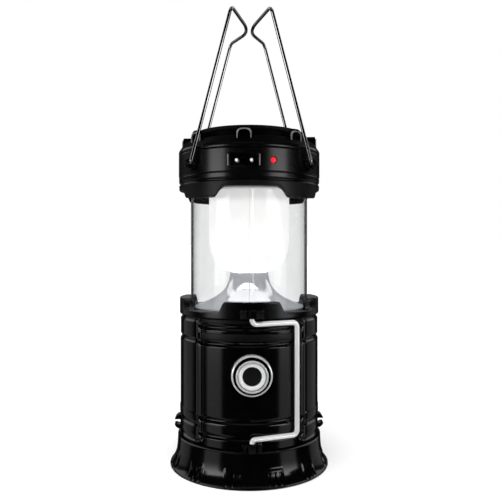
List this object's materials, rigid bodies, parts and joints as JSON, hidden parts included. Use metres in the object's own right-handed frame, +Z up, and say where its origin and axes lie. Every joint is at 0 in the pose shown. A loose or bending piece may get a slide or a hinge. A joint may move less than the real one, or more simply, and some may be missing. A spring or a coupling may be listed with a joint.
{
  "type": "solar lantern",
  "caption": "Collapsible solar camping lantern with a clear globe, hinged wire bails, a fold-out side handle and a torch in the foot.",
  "frame": {"origin": "centre of the foot's underside, where the lantern stands", "axes": "+Z up, -Y towards the front with the push switch, +X to the viewer's right"},
  "size_m": [0.088, 0.088, 0.2446],
  "materials": {
    "black_plastic": "moulded black ABS, semi-gloss",
    "chrome_wire": "bright plated spring wire",
    "chrome_trim": "bright chrome trim",
    "silver_plastic": "silver-painted plastic",
    "black_rubber": "soft matt rubber",
    "clear_plastic": "clear polystyrene",
    "frosted_plastic": "frosted, lit from inside",
    "mirror_plastic": "metallised plastic reflector",
    "red_led": "red charging light",
    "led_yellow": "phosphor-coated LED",
    "green_board": "green solder mask",
    "white_board": "white solder mask",
    "solar_cell": "dark blue cells under clear resin",
    "blue_sleeve": "blue heat-shrink sleeve over a metal can",
    "steel": "zinc-plated steel",
    "brass": "bright contact pin"
  },
  "bodies": {
    "base": {"base_housing": "black_plastic", "collar_ring": "black_plastic", "torch_bezel": "black_plastic", "lens_seal": "black_rubber", "torch_lens": "clear_plastic", "torch_reflector": "mirror_plastic", "torch_board": "white_board", "torch_led": "led_yellow", "base_bulkhead": "black_plastic", "bulkhead_screw_1": "steel", "bulkhead_screw_2": "steel", "bulkhead_screw_3": "steel", "switch_bezel": "chrome_trim", "switch_ring": "silver_plastic", "switch_contact": "steel"},
    "switch_button": {"switch_button": "black_rubber"},
    "side_handle": {"side_handle": "chrome_wire"},
    "lamp_unit": {"cap_housing": "black_plastic", "cap_top": "black_plastic", "solar_panel": "solar_cell", "control_board": "green_board", "board_screw_1": "steel", "board_screw_2": "steel", "board_screw_3": "steel", "board_screw_4": "steel", "battery_cell": "blue_sleeve", "inlet_cup": "black_plastic", "inlet_pin_left": "brass", "inlet_pin_right": "brass", "charge_led": "red_led", "usb_socket": "steel", "usb_tongue": "white_board", "globe_tube": "clear_plastic", "stop_ring": "black_plastic", "lamp_base": "black_plastic", "lamp_diffuser": "frosted_plastic", "bell_reflector": "mirror_plastic", "lamp_board": "white_board", "lamp_led_1": "led_yellow", "lamp_led_2": "led_yellow", "lamp_led_3": "led_yellow", "lamp_led_4": "led_yellow", "lamp_led_5": "led_yellow", "lamp_led_6": "led_yellow"},
    "usb_flap": {"usb_flap": "black_rubber"},
    "bail_left": {"bail_left": "chrome_wire"},
    "bail_right": {"bail_right": "chrome_wire"}
  },
  "joints": [
    {"name": "lamp_slide", "type": "slide", "parent": "base", "child": "lamp_unit", "axis": [0, 0, 1], "range_m": [-0.0572, 0]},
    {"name": "bail_left_hinge", "type": "hinge", "parent": "lamp_unit", "child": "bail_left", "pos_m": [-0.0311, 0, 0.1632], "axis": [0, -1, 0], "range_deg": [0, 194.5]},
    {"name": "bail_right_hinge", "type": "hinge", "parent": "lamp_unit", "child": "bail_right", "pos_m": [0.0311, 0, 0.1632], "axis": [0, 1, 0], "range_deg": [0, 194.5]},
    {"name": "side_handle_hinge", "type": "hinge", "parent": "base", "child": "side_handle", "pos_m": [0, -0.0419, 0.0528], "axis": [0, 0, 1], "range_deg": [-219, 0]},
    {"name": "switch_press", "type": "slide", "parent": "base", "child": "switch_button", "axis": [0, 1, 0], "range_m": [0, 0.0012], "stiffness_N_per_m": 1200, "springref_m": -0.0006},
    {"name": "usb_flap_hinge", "type": "hinge", "parent": "lamp_unit", "child": "usb_flap", "pos_m": [0, 0.0403, 0.1687], "axis": [1, 0, 0], "range_deg": [0, 110]}
  ]
}
